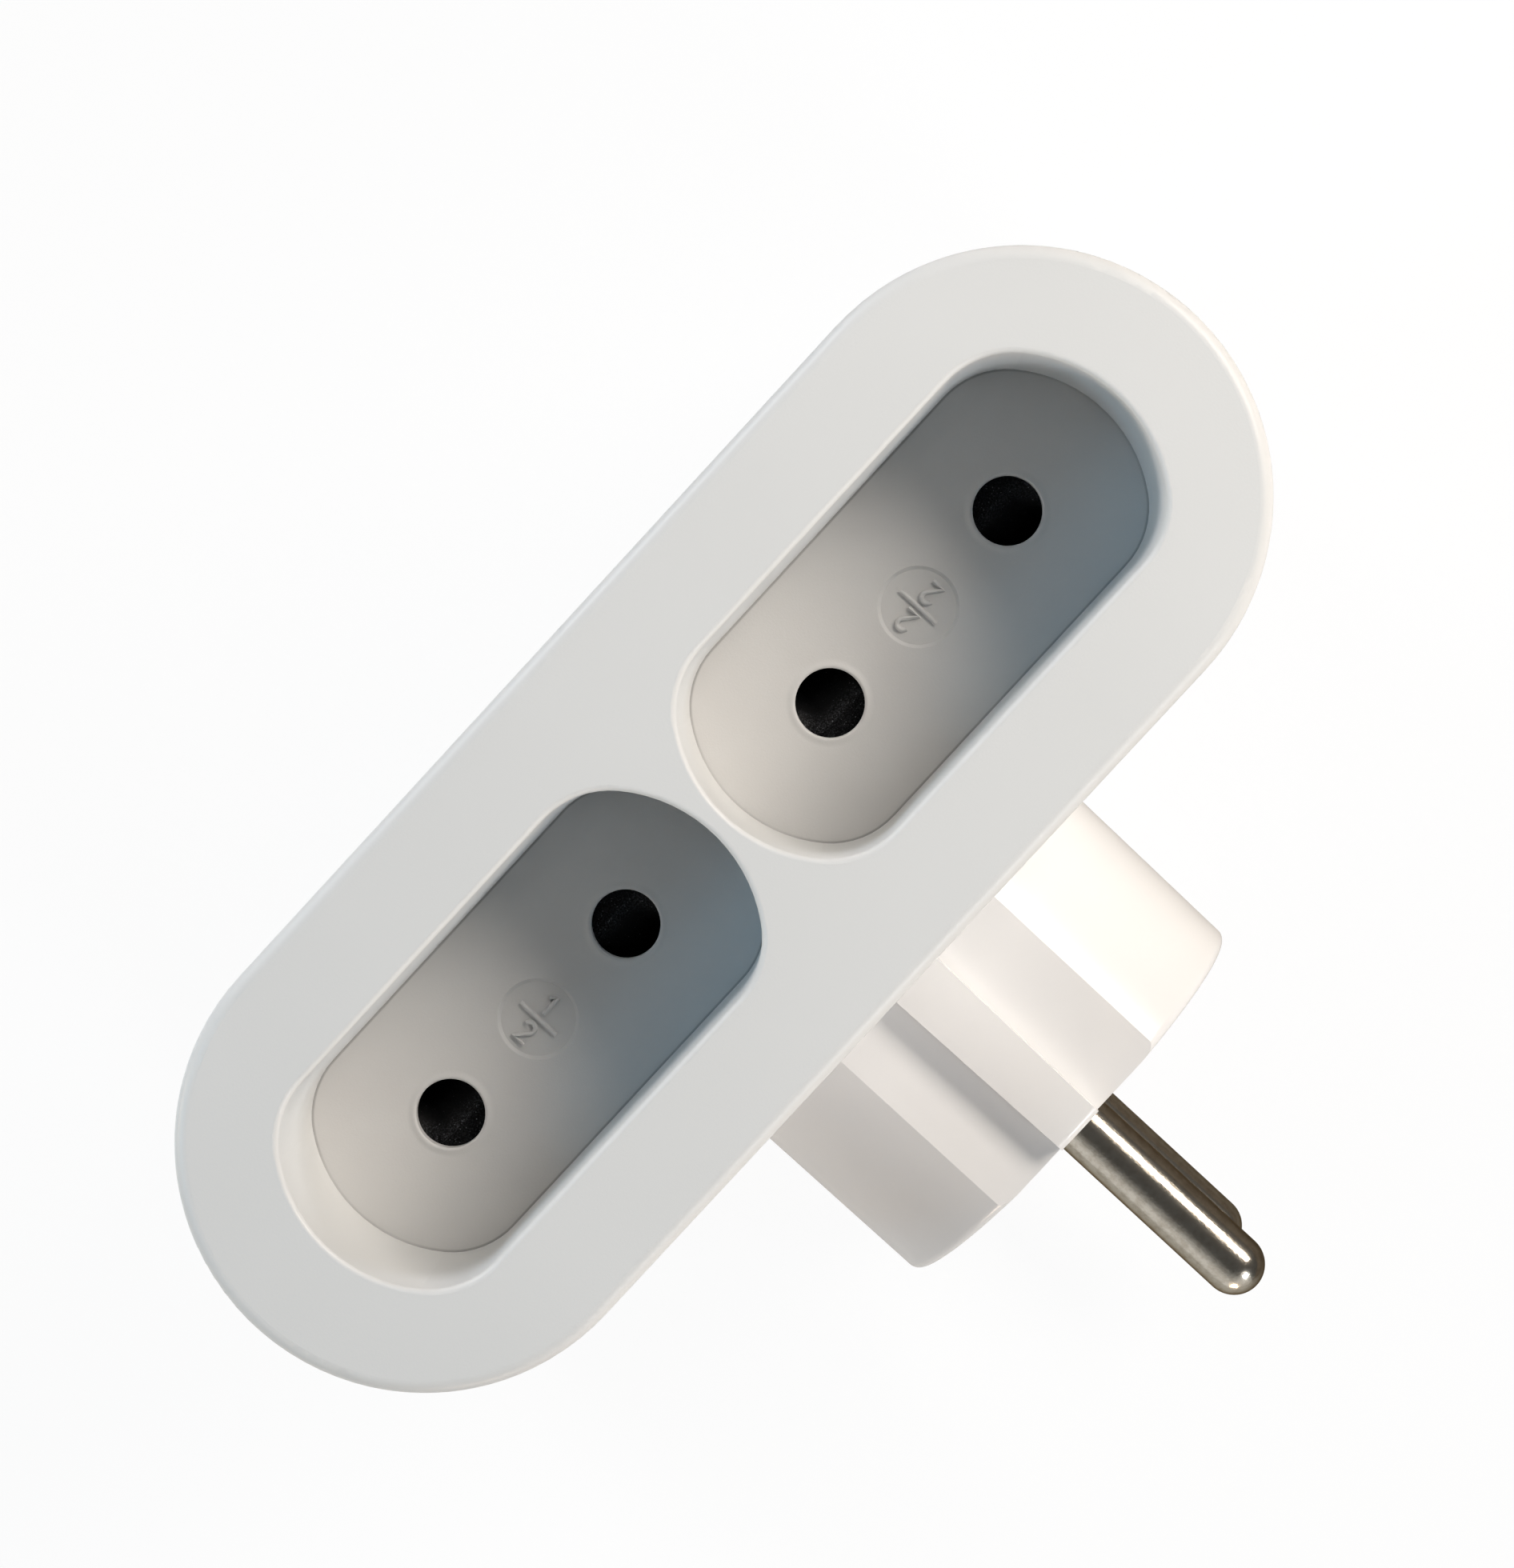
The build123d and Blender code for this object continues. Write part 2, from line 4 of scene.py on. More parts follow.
import bmesh
import bpy
from mathutils import Matrix, Vector


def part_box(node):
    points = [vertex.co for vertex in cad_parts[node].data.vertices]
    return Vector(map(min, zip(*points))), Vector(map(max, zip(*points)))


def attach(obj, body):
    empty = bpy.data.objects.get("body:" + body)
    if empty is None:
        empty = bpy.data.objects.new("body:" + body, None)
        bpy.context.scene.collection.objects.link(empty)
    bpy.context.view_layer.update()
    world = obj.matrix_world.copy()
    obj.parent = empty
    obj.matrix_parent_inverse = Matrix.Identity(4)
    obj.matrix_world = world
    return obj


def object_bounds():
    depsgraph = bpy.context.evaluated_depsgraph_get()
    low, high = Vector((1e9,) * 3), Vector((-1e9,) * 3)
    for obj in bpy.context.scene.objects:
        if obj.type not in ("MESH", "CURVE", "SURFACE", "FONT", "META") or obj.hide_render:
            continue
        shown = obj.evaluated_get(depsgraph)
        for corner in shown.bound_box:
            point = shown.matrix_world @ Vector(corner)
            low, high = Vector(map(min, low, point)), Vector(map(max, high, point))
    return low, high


bl_info = {
    "name": "Socket adapter finishes",
    "version": (1, 0, 0),
    "blender": (4, 5, 0),
    "location": "3D View > Sidebar > Adapter",
    "description": "Finishes, raised details and studio stage of a two-way socket adapter",
    "category": "Object",
}

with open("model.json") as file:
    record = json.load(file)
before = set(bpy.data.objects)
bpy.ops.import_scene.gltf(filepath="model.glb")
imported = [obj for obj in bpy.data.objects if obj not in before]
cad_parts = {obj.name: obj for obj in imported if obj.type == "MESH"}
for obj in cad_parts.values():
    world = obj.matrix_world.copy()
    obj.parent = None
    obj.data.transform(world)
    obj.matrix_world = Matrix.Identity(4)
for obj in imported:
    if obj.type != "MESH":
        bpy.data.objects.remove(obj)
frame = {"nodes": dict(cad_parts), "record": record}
cad_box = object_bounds()
PICTURE_LONG_SIDE = 1960
SENSOR_WIDTH = 36.0
SHARP_ANGLE = math.radians(40.0)
MILLIMETRES_PER_METRE = 1000.0
LEVEL_ALLOWANCE = 0.00002
WHITE = (1.0, 1.0, 1.0)
NOISE_MIDDLE = 0.5
RAMP_MIDDLE = 0.5
# Sockets of a Mix node for colours, by number because their names repeat
MIX_FACTOR, MIX_FIRST, MIX_SECOND, MIX_RESULT = 0, 6, 7, 2


# Settings


def colour(label, about, value):
    """A colour setting."""
    return bpy.props.FloatVectorProperty(
        name=label, description=about, default=value, subtype="COLOR", size=3, min=0.0, max=1.0
    )


def length(label, about, value):
    """A length setting in metres."""
    return bpy.props.FloatProperty(
        name=label, description=about, default=value, unit="LENGTH", precision=6
    )


def share(label, about, value):
    """A setting between nought and one."""
    return bpy.props.FloatProperty(
        name=label, description=about, default=value, subtype="FACTOR", min=0.0, max=1.0
    )


def place(label, about, value):
    """A point setting in metres."""
    return bpy.props.FloatVectorProperty(
        name=label,
        description=about,
        default=value,
        subtype="XYZ",
        unit="LENGTH",
        size=3,
        precision=6,
    )


def turn(label, about, degrees):
    """An angle setting, given in degrees and kept in radians."""
    return bpy.props.FloatProperty(
        name=label, description=about, default=math.radians(degrees), subtype="ANGLE"
    )


def number(label, about, value):
    """A plain setting from nought up, such as a lamp's watts or swells to the metre."""
    return bpy.props.FloatProperty(name=label, description=about, default=value, min=0.0)


class AdapterFinishes(bpy.types.PropertyGroup):
    """Colours and gloss of the adapter's materials"""

    cover: colour("Housing", "Satin plastic of the housing", (0.77, 0.775, 0.768))
    cover_shade: colour("Housing shade", "Faint clouds in the housing", (0.745, 0.75, 0.742))
    cover_roughness: share("Housing roughness", "Roughness of the satin plastic", 0.425)
    # The recess floors are coloured darker than the housing's plastic, as painted shade in the
    # recesses
    plate: colour("Recess floor", "Matt plastic of the recess floors", (0.668, 0.668, 0.663))
    plate_shade: colour("Recess floor shade", "Faint rubbed patches", (0.638, 0.633, 0.628))
    # The dark joint at the foot of the recess walls: a real joint with painted shade in it,
    # stronger along the long sides
    plate_joint: colour("Recess floor joint", "Joint at the foot of the walls", (0.2, 0.2, 0.2))
    joint_and_shade_side_share: share("Joint at sides", "Strength of the joint along the long sides", 0.5)
    joint_and_shade_end_share: share("Joint at ends", "Strength of the joint round the ends", 0.14)
    plate_roughness: share("Recess floor roughness", "Roughness of the recess floors", 0.56)
    plug: colour("Plug base", "Glossy plastic of the plug base", (0.86, 0.855, 0.85))
    plug_shade: colour("Plug base shade", "Faint clouds in the plug base", (0.83, 0.825, 0.825))
    plug_roughness: share("Plug base roughness", "Roughness of the plug base", 0.25)
    shutter: colour("Shutter", "Black plastic of the shutters", (0.0014, 0.0016, 0.002))
    # Paler shutter colour near the top: partly rubbed wear, partly painted light
    shutter_wear_and_light: colour("Worn shutter", "Rubbed plastic near the top", (0.03, 0.031, 0.034))
    shutter_fleck: colour("Shutter fleck", "Flecks in the black plastic", (0.24, 0.25, 0.27))
    # Share of the paler top colour on the flat tops, partly painted light as well as wear
    shutter_top_wear_and_light: share("Shutter top wear", "Share of the rubbing on the flat tops", 0.5)
    shutter_deep_fleck: share("Deep flecks", "Share of the flecks below the rubbed part", 0.2)
    shutter_roughness: share("Shutter roughness", "Roughness of the shutters", 0.3)
    shutter_gleam: share("Shutter gleam", "Specular level of the shutters", 0.07)
    pin: colour("Pin", "Nickel plating of the pins", (0.5, 0.465, 0.4))
    pin_shade: colour("Pin shade", "Dull stretches of the plating", (0.4, 0.36, 0.3))
    pin_rim: colour("Pin rim", "Tint of the plating seen edge on", (0.3, 0.24, 0.17))
    pin_roughness: share("Pin roughness", "Roughness of the plating", 0.2)
    brass: colour("Brass", "Contact strips, clips and rivets", (0.72, 0.53, 0.25))
    brass_shade: colour("Brass shade", "Tarnish on the brass", (0.48, 0.32, 0.13))
    brass_roughness: share("Brass roughness", "Roughness of the brass", 0.3)
    steel: colour("Steel", "Screws, washers and springs", (0.56, 0.57, 0.58))
    steel_shade: colour("Steel shade", "Dull patches of the steel", (0.38, 0.385, 0.39))
    steel_roughness: share("Steel roughness", "Roughness of the screws and washers", 0.36)
    wire_roughness: share("Wire roughness", "Roughness of the springs", 0.28)
    carrier: colour("Carrier", "Dark plastic of the contact carriers", (0.035, 0.033, 0.03))
    carrier_shade: colour("Carrier shade", "Paler clouds of the carriers", (0.07, 0.065, 0.06))
    carrier_roughness: share("Carrier roughness", "Roughness of the carriers", 0.6)


class AdapterGrain(bpy.types.PropertyGroup):
    """Scale of the surface detail, in swells to the metre, and its height"""

    cover_cloud: number("Housing clouds", "Clouds in the satin plastic", 38.0)
    cover_grain: number("Housing grain", "Spark-eroded grain of the satin plastic", 5200.0)
    cover_height: length("Housing grain height", "Height of the satin grain", 0.000012)
    plate_cloud: number("Recess floor clouds", "Rubbed patches of the recess floors", 85.0)
    plate_grain: number("Recess floor grain", "Fine grain of the recess floors", 7500.0)
    plate_height: length("Recess floor grain height", "Height of the floors' grain", 0.000014)
    plug_cloud: number("Plug base clouds", "Clouds in the glossy plastic", 55.0)
    plug_ripple: number("Plug base ripple", "Slow ripple of the glossy plastic", 260.0)
    plug_height: length("Plug base ripple height", "Height of the ripple", 0.00002)
    shutter_grit: number("Shutter grit", "Grit of the black plastic", 8000.0)
    shutter_cloud: number("Shutter clouds", "Duller patches of the black plastic", 900.0)
    shutter_height: length("Shutter grit height", "Height of the grit", 0.00005)
    carrier_fibre: number("Carrier fibres", "Glass fibres of the carriers", 900.0)
    carrier_height: length("Carrier fibre height", "Height of the fibres", 0.00002)
    pin_line: number("Pin lines", "Drawn lines along the pins", 4200.0)
    pin_line_share: share("Pin line share", "Height of the lines against the dents", 0.5)
    pin_patch: number("Pin patches", "Dull patches of the plating", 1300.0)
    pin_dent: number("Pin dents", "Small dents of the plating", 3800.0)
    pin_height: length("Pin dent height", "Height of the dents", 0.000018)
    metal_line: number("Metal lines", "Drawn lines of the brass and steel", 2600.0)
    metal_patch: number("Metal patches", "Dull patches of the brass and steel", 240.0)
    metal_height: length("Metal line height", "Height of the drawn lines", 0.00001)


class AdapterDetails(bpy.types.PropertyGroup):
    """Sizes of the details in the recesses"""

    joint_pitch: length("Joint pitch", "Distance between the middles of the floors", 0.041)
    joint_side: length("Joint side", "From a floor's middle to its long sides", 0.009004)
    joint_radius: length("Joint radius", "Radius of a floor's ends", 0.010804)
    joint_middle: length("Joint middle", "From a floor's middle to an end's centre", 0.00875)
    joint_corner: length("Joint corner", "Radius of a floor's corners", 0.006204)
    joint_width: length("Joint width", "Width of the dark joint", 0.00016)
    # Depth of the shutters' paler top, partly rubbed wear and partly painted light
    wear_and_light_depth: length("Wear depth", "Depth to which the shutters are rubbed", 0.0009)
    ring_width: length("Ring width", "Width of the swell round a pin hole", 0.0007)
    ring_height: length("Ring height", "Height of the swell round a pin hole", 0.00009)
    ring_root: length("Ring root", "How far the swell is let into the floor", 0.00002)
    digit_height: length("Digit height", "Height of a raised number", 0.0016)
    digit_stroke: length("Digit stroke", "Half the width of a number's stroke", 0.00019)
    digit_rise: length("Digit rise", "How far a number stands above its sunk disc", 0.00032)
    disc_depth: length("Disc depth", "Depth of the sunk disc under a number", 0.00025)


class AdapterStage(bpy.types.PropertyGroup):
    """Floor and surroundings"""

    floor_size: length("Floor size", "Side of the square floor", 6.0)
    floor: colour("Floor", "Colour of the floor", (0.9, 0.9, 0.9))
    floor_shade: colour("Floor shade", "Faint clouds of the floor", (0.882, 0.882, 0.882))
    floor_cloud: number("Floor clouds", "Clouds to the metre in the floor", 6.0)
    floor_roughness: share("Floor roughness", "Roughness of the floor", 0.9)
    floor_glow: share("Floor glow", "Share of plain white that the camera sees in the floor", 0.93)
    # Painted reflection: the floor as metal mirrors it, pale away from the key lamp and dark under
    # it
    floor_painted_gleam: colour(
        "Floor gleam", "Floor that metal mirrors away from the key lamp", (0.66, 0.65, 0.62)
    )
    floor_painted_dusk: colour(
        "Floor dusk", "Floor that metal mirrors under the key lamp", (0.12, 0.09, 0.06)
    )
    painted_dusk_reach: length("Dusk reach", "Width of the mirrored floor's change to dark", 0.2)
    ambient: share("Ambient", "Strength of the even light from all round", 0.02)
    ceiling: share("Ceiling", "Brightness of the ceiling that glossy surfaces mirror", 0.1)


class AdapterLamps(bpy.types.PropertyGroup):
    """Soft lamps, each by its power in watts, colour, size, distance and direction"""

    target: place("Target", "Point that the lamps face", (0.0, -0.006, 0.04))
    key_power: number("Key power", "Watts of the warm key lamp", 1.75)
    key_colour: colour("Key colour", "Colour of the key lamp", (1.0, 0.914, 0.824))
    key_width: length("Key width", "Width of the key lamp", 0.25)
    key_height: length("Key height", "Height of the key lamp", 0.14)
    key_distance: length("Key distance", "From the target to the key lamp", 0.45)
    key_azimuth: turn("Key azimuth", "Turn of the key lamp about +Z from +X", -11.5)
    key_elevation: turn("Key elevation", "Rise of the key lamp above the floor", 36.5)
    front_power: number("Front power", "Watts of the front lamp, on the plug's side", 3.0)
    front_colour: colour("Front colour", "Colour of the front lamp", (0.946, 0.971, 1.0))
    front_width: length("Front width", "Width of the front lamp", 0.25)
    front_height: length("Front height", "Height of the front lamp", 0.25)
    front_distance: length("Front distance", "From the target to the front lamp", 0.9)
    front_azimuth: turn("Front azimuth", "Turn of the front lamp about +Z from +X", -90.0)
    front_elevation: turn("Front elevation", "Rise of the front lamp above the floor", 34.0)
    back_power: number("Back power", "Watts of the back lamp, across from the plug", 3.2)
    back_colour: colour("Back colour", "Colour of the back lamp", (0.9, 0.93, 1.0))
    back_width: length("Back width", "Width of the back lamp", 0.25)
    back_height: length("Back height", "Height of the back lamp", 0.25)
    back_distance: length("Back distance", "From the target to the back lamp", 0.9)
    back_azimuth: turn("Back azimuth", "Turn of the back lamp about +Z from +X", 90.0)
    back_elevation: turn("Back elevation", "Rise of the back lamp above the floor", 20.0)
    low_power: number("Low power", "Watts of the low lamp, at the back corner", 2.25)
    low_colour: colour("Low colour", "Colour of the low lamp", (1.0, 0.85, 0.65))
    low_width: length("Low width", "Width of the low lamp", 0.25)
    low_height: length("Low height", "Height of the low lamp", 0.2)
    low_distance: length("Low distance", "From the target to the low lamp", 0.9)
    low_azimuth: turn("Low azimuth", "Turn of the low lamp about +Z from +X", 135.0)
    low_elevation: turn("Low elevation", "Rise of the low lamp above the floor", 10.0)
    fill_power: number("Fill power", "Watts of the cool fill lamp", 1.3)
    fill_colour: colour("Fill colour", "Colour of the fill lamp", (0.33, 0.7, 1.0))
    fill_width: length("Fill width", "Width of the fill lamp", 0.25)
    fill_height: length("Fill height", "Height of the fill lamp", 0.25)
    fill_distance: length("Fill distance", "From the target to the fill lamp", 0.9)
    fill_azimuth: turn("Fill azimuth", "Turn of the fill lamp about +Z from +X", 141.0)
    fill_elevation: turn("Fill elevation", "Rise of the fill lamp above the floor", 35.0)
    side_power: number("Side power", "Watts of the side lamp, low at the left", 1.7)
    side_colour: colour("Side colour", "Colour of the side lamp", (1.0, 0.8, 0.62))
    side_width: length("Side width", "Width of the side lamp", 0.25)
    side_height: length("Side height", "Height of the side lamp", 0.2)
    side_distance: length("Side distance", "From the target to the side lamp", 0.9)
    side_azimuth: turn("Side azimuth", "Turn of the side lamp about +Z from +X", -135.0)
    side_elevation: turn("Side elevation", "Rise of the side lamp above the floor", 8.0)


class AdapterCamera(bpy.types.PropertyGroup):
    """Place, turns and lens of the camera"""

    position: place("Position", "Place of the camera", (0.018093, 0.001583, 0.326991))
    pitch: turn("Pitch", "Turn of the camera about +X", 0.342571)
    yaw: turn("Yaw", "Turn of the camera about +Y", -3.052490)
    roll: turn("Roll", "Turn of the picture about the line of sight", 47.268373)
    focal_pixels: number("Focal length", "Focal length in pixels of the full picture", 4839.2)


# Shader building


class Value:
    """A shader socket that takes part in Python sums; each operation adds its Math node."""

    def __init__(self, shader, socket):
        self.shader = shader
        self.socket = socket

    def math(self, operation, first, second):
        """The outcome of a Math node on two values or numbers."""
        return self.shader.add("ShaderNodeMath", {"operation": operation}, {0: first, 1: second})

    def larger(self, other):
        """The larger of the value and another."""
        return self.math("MAXIMUM", self, other)

    def above(self, other):
        """One where the value is above another, and nought elsewhere."""
        return self.math("GREATER_THAN", self, other)

    def size(self):
        """The value without its sign."""
        return self.larger(-1.0 * self)

    def __add__(self, other):
        return self.math("ADD", self, other)

    def __radd__(self, other):
        return self.math("ADD", other, self)

    def __sub__(self, other):
        return self.math("SUBTRACT", self, other)

    def __rsub__(self, other):
        return self.math("SUBTRACT", other, self)

    def __mul__(self, other):
        return self.math("MULTIPLY", self, other)

    def __rmul__(self, other):
        return self.math("MULTIPLY", other, self)


class Shader:
    """The nodes of a material or of the world, with the few calls that the finishes need."""

    def __init__(self, holder, surface="Principled BSDF", coordinates="Object"):
        holder.use_nodes = True
        self.holder = holder
        self.tree = holder.node_tree
        self.surface = self.tree.nodes[surface]
        self.coordinates = self.add("ShaderNodeTexCoord", output=coordinates)

    def add(self, kind, settings=None, inputs=None, output=0):
        """Add a node, set it up, feed its sockets and return one of its outputs."""
        node = self.tree.nodes.new(kind)
        for key, value in (settings or {}).items():
            if key == "stops":
                self.set_stops(node.color_ramp, value)
            else:
                setattr(node, key, value)
        for key, value in (inputs or {}).items():
            self.feed(node.inputs[key], value)
        return Value(self, node.outputs[output])

    def feed(self, socket, value):
        """Link a value to a socket, or set it there."""
        if isinstance(value, Value):
            self.tree.links.new(value.socket, socket)
        else:
            socket.default_value = value

    def set_stops(self, ramp, stops):
        """Give a ramp its stops, as pairs of place and grey level."""
        for stop, (position, level) in zip(ramp.elements, stops):
            stop.position = position
            stop.color = (level, level, level, 1.0)

    def axis(self, name):
        """One of a point's coordinates, by the name of its axis."""
        return self.add("ShaderNodeSeparateXYZ", inputs={0: self.coordinates}, output=name)

    def noise(self, scale, detail=2.0, roughness=0.5, coordinates=None):
        """Noise with so many swells to the metre."""
        return self.add(
            "ShaderNodeTexNoise",
            inputs={
                "Vector": coordinates or self.coordinates,
                "Scale": scale,
                "Detail": detail,
                "Roughness": roughness,
            },
        )

    def stretched(self, factors):
        """A point's coordinates times factors; noise on them is drawn out where these are small."""
        return self.add(
            "ShaderNodeVectorMath", {"operation": "MULTIPLY"}, {0: self.coordinates, 1: factors}
        )

    def reach(self, along, across):
        """Distance of a point from nought, from its two level coordinates."""
        point = self.add("ShaderNodeCombineXYZ", inputs={"X": along, "Y": across})
        return self.add("ShaderNodeVectorMath", {"operation": "LENGTH"}, {0: point}, "Value")

    def mask(self, value, low, high):
        """A mask that rises evenly with the value, from nought at low to one at high."""
        return self.add("ShaderNodeValToRGB", {"stops": ((low, 0.0), (high, 1.0))}, {0: value})

    def vary(self, middle, *swings):
        """A number that swings about its middle with each noise, by that noise's full swing."""
        total = middle
        for noise, swing in swings:
            total = total + swing * (noise - NOISE_MIDDLE)
        return total

    def blend(self, factor, first, second):
        """A colour, plain or already blended, mixed with a second one by a factor."""
        if not isinstance(first, Value):
            first = (*first, 1.0)
        return self.add(
            "ShaderNodeMix",
            {"data_type": "RGBA", "clamp_factor": True},
            {MIX_FACTOR: factor, MIX_FIRST: first, MIX_SECOND: (*second, 1.0)},
            output=MIX_RESULT,
        )

    def bump(self, height, distance, strength):
        """A bumpy normal, where a height of one stands for a distance in metres."""
        return self.add(
            "ShaderNodeBump", inputs={"Strength": strength, "Distance": distance, "Height": height}
        )

    def sight_rays(self):
        """Values that are one for a camera ray, a glossy ray and a ray through glass."""
        names = "Is Camera Ray", "Is Glossy Ray", "Is Transmission Ray"
        return [self.add("ShaderNodeLightPath", output=name) for name in names]

    def finish(self, **inputs):
        """Feed the surface's sockets, named with underscores, and return the holder."""
        sockets = {socket.name.lower().replace(" ", "_"): socket for socket in self.surface.inputs}
        for key, value in inputs.items():
            self.feed(sockets[key], value)
        return self.holder


def satin_plastic(finishes, grain):
    """Satin moulded plastic with faint clouds and a fine spark-eroded grain."""
    shader = Shader(bpy.data.materials.new("satin_plastic"))
    cloud = shader.noise(grain.cover_cloud, detail=3.0)
    fine = shader.noise(grain.cover_grain, detail=1.0)
    shade = shader.mask(cloud, low=0.35, high=0.7)
    return shader.finish(
        base_color=shader.blend(shade, finishes.cover, finishes.cover_shade),
        roughness=shader.vary(finishes.cover_roughness, (cloud, 0.06), (fine, 0.05)),
        normal=shader.bump(fine, grain.cover_height, strength=0.5),
    )


def matt_plastic(finishes, grain, details):
    """Matt plastic of the recess floors, darker than the housing as painted shade, with rubbed
    patches and a dark joint at the walls that is partly painted shade.
    """
    shader = Shader(bpy.data.materials.new("matt_plastic"))
    cloud = shader.noise(grain.plate_cloud, detail=3.0, roughness=0.6)
    fine = shader.noise(grain.plate_grain)
    shade = shader.mask(cloud, low=0.4, high=0.75)
    # The floor colour is darker than the housing's, as painted shade in the recesses
    tone = shader.blend(shade, finishes.plate, finishes.plate_shade)
    # A real joint, darkened further as painted shade at the foot of the walls
    joint_and_shade = floor_joint_and_shade(shader, finishes, details)
    return shader.finish(
        base_color=shader.blend(joint_and_shade, tone, finishes.plate_joint),
        roughness=shader.vary(finishes.plate_roughness, (cloud, 0.1), (fine, 0.08)),
        normal=shader.bump(fine, grain.plate_height, strength=0.6),
    )


def floor_joint_and_shade(shader, finishes, details):
    """A mask of the dark joint round both recess floors, partly painted shade: strong along the
    sides, where the walls' foot lies in shade, faint at the ends.
    """
    # Every point is folded onto one quarter of one floor
    along = (shader.axis("X").size() - details.joint_pitch / 2).size() - details.joint_middle
    across = shader.axis("Y").size()
    # A corner's arc touches the long side and the end's arc
    corner_across = details.joint_side - details.joint_corner
    corner_along = math.sqrt((details.joint_radius - details.joint_corner) ** 2 - corner_across**2)
    past_corner = (along - corner_along).larger(0.0)
    from_corner = shader.reach(past_corner, across - corner_across) - details.joint_corner
    from_end = shader.reach(along, across) - details.joint_radius
    at_corner = (corner_along * across).above(corner_across * along)
    outside = from_end + at_corner * (from_corner - from_end)
    line = shader.mask(1.0 + outside * (RAMP_MIDDLE / details.joint_width), low=0.4, high=0.7)
    # Painted shade: darker along the long sides, where the walls' foot lies in shade, than round
    # the ends
    at_side = shader.mask(across * (1.0 / details.joint_side), low=0.4, high=0.95)
    gain = finishes.joint_and_shade_side_share - finishes.joint_and_shade_end_share
    return line * (finishes.joint_and_shade_end_share + gain * at_side)


def gloss_plastic(finishes, grain):
    """Glossy moulded plastic of the plug base, with a slow ripple in its surface."""
    shader = Shader(bpy.data.materials.new("gloss_plastic"))
    cloud = shader.noise(grain.plug_cloud)
    ripple = shader.noise(grain.plug_ripple, detail=1.0)
    shade = shader.mask(cloud, low=0.35, high=0.7)
    return shader.finish(
        base_color=shader.blend(shade, finishes.plug, finishes.plug_shade),
        roughness=shader.vary(finishes.plug_roughness, (cloud, 0.1)),
        normal=shader.bump(ripple, grain.plug_height, strength=0.35),
    )


def black_plastic(finishes, grain, details, top):
    """Black shutter plastic, gritty, with a few pale flecks, and paler near its top: partly rubbed
    wear, partly painted light where the tops catch more light than the deep parts.
    """
    shader = Shader(bpy.data.materials.new("black_plastic"))
    grit = shader.noise(grain.shutter_grit, detail=3.0)
    cloud = shader.noise(grain.shutter_cloud)
    height = shader.axis("Z")
    # Painted light, partly rubbed wear: the colour grows paler towards the top, where light
    # reaches, and stays black deeper down in shade
    wear_and_light = shader.mask(1.0 + (height - top) * (1.0 / details.wear_and_light_depth), low=0.3, high=0.95)
    spared = (1.0 - finishes.shutter_top_wear_and_light) * height.above(top - LEVEL_ALLOWANCE)
    rubbed = wear_and_light * (1.0 - spared) * shader.mask(grit, low=0.44, high=0.62)
    tone = shader.blend(rubbed, finishes.shutter, finishes.shutter_wear_and_light)
    deep = finishes.shutter_deep_fleck
    # The pale flecks also thicken towards the top, painting glints where the light falls
    fleck = shader.mask(grit, low=0.67, high=0.76) * (deep + (1.0 - deep) * wear_and_light)
    return shader.finish(
        base_color=shader.blend(fleck, tone, finishes.shutter_fleck),
        roughness=shader.vary(finishes.shutter_roughness, (cloud, 0.12)),
        specular_ior_level=finishes.shutter_gleam,
        normal=shader.bump(grit, grain.shutter_height, strength=0.8),
    )


def carrier_plastic(finishes, grain):
    """Dark glass-filled plastic of the contact carriers, with its fibres along Y."""
    shader = Shader(bpy.data.materials.new("carrier_plastic"))
    lengthwise = shader.stretched((1.0, 0.25, 1.0))
    fibre = shader.noise(grain.carrier_fibre, detail=3.0, coordinates=lengthwise)
    shade = shader.mask(fibre, low=0.45, high=0.75)
    return shader.finish(
        base_color=shader.blend(shade, finishes.carrier, finishes.carrier_shade),
        roughness=shader.vary(finishes.carrier_roughness, (fibre, 0.2)),
        normal=shader.bump(fibre, grain.carrier_height, strength=0.4),
    )


def nickel_plating(finishes, grain):
    """Nickel plating with fine drawn lines along the pin, small dents and dull patches."""
    shader = Shader(bpy.data.materials.new("nickel_plating"))
    line = shader.noise(grain.pin_line, coordinates=shader.stretched((1.0, 0.08, 1.0)))
    patch = shader.noise(grain.pin_patch, detail=3.0, roughness=0.6)
    dent = shader.noise(grain.pin_dent)
    shade = shader.mask(patch, low=0.4, high=0.68)
    return shader.finish(
        base_color=shader.blend(shade, finishes.pin, finishes.pin_shade),
        metallic=1.0,
        specular_tint=(*finishes.pin_rim, 1.0),
        roughness=shader.vary(finishes.pin_roughness, (line, 0.06), (patch, 0.08)),
        normal=shader.bump(grain.pin_line_share * line + dent, grain.pin_height, strength=0.6),
    )


def bright_metal(name, grain, tone, dull_tone, roughness, lines):
    """A rolled or drawn metal with lengthwise lines and duller patches."""
    shader = Shader(bpy.data.materials.new(name))
    line = shader.noise(grain.metal_line, coordinates=shader.stretched(lines))
    patch = shader.noise(grain.metal_patch, detail=3.0)
    shade = shader.mask(patch, low=0.4, high=0.75)
    return shader.finish(
        base_color=shader.blend(shade, tone, dull_tone),
        metallic=1.0,
        roughness=shader.vary(roughness, (line, 0.18)),
        normal=shader.bump(line, grain.metal_height, strength=0.4),
    )


def rolled_brass(finishes, grain):
    """Brass strip of the contacts, rolled along X."""
    tones = finishes.brass, finishes.brass_shade, finishes.brass_roughness
    return bright_metal("rolled_brass", grain, *tones, lines=(0.05, 1.0, 1.0))


def zinc_steel(finishes, grain):
    """Plated steel of the screws and washers, drawn along Z."""
    tones = finishes.steel, finishes.steel_shade, finishes.steel_roughness
    return bright_metal("zinc_steel", grain, *tones, lines=(1.0, 1.0, 0.2))


def spring_wire(finishes, grain):
    """Wire of the return springs, drawn along Y."""
    tones = finishes.steel, finishes.steel_shade, finishes.wire_roughness
    return bright_metal("spring_wire", grain, *tones, lines=(1.0, 0.05, 1.0))


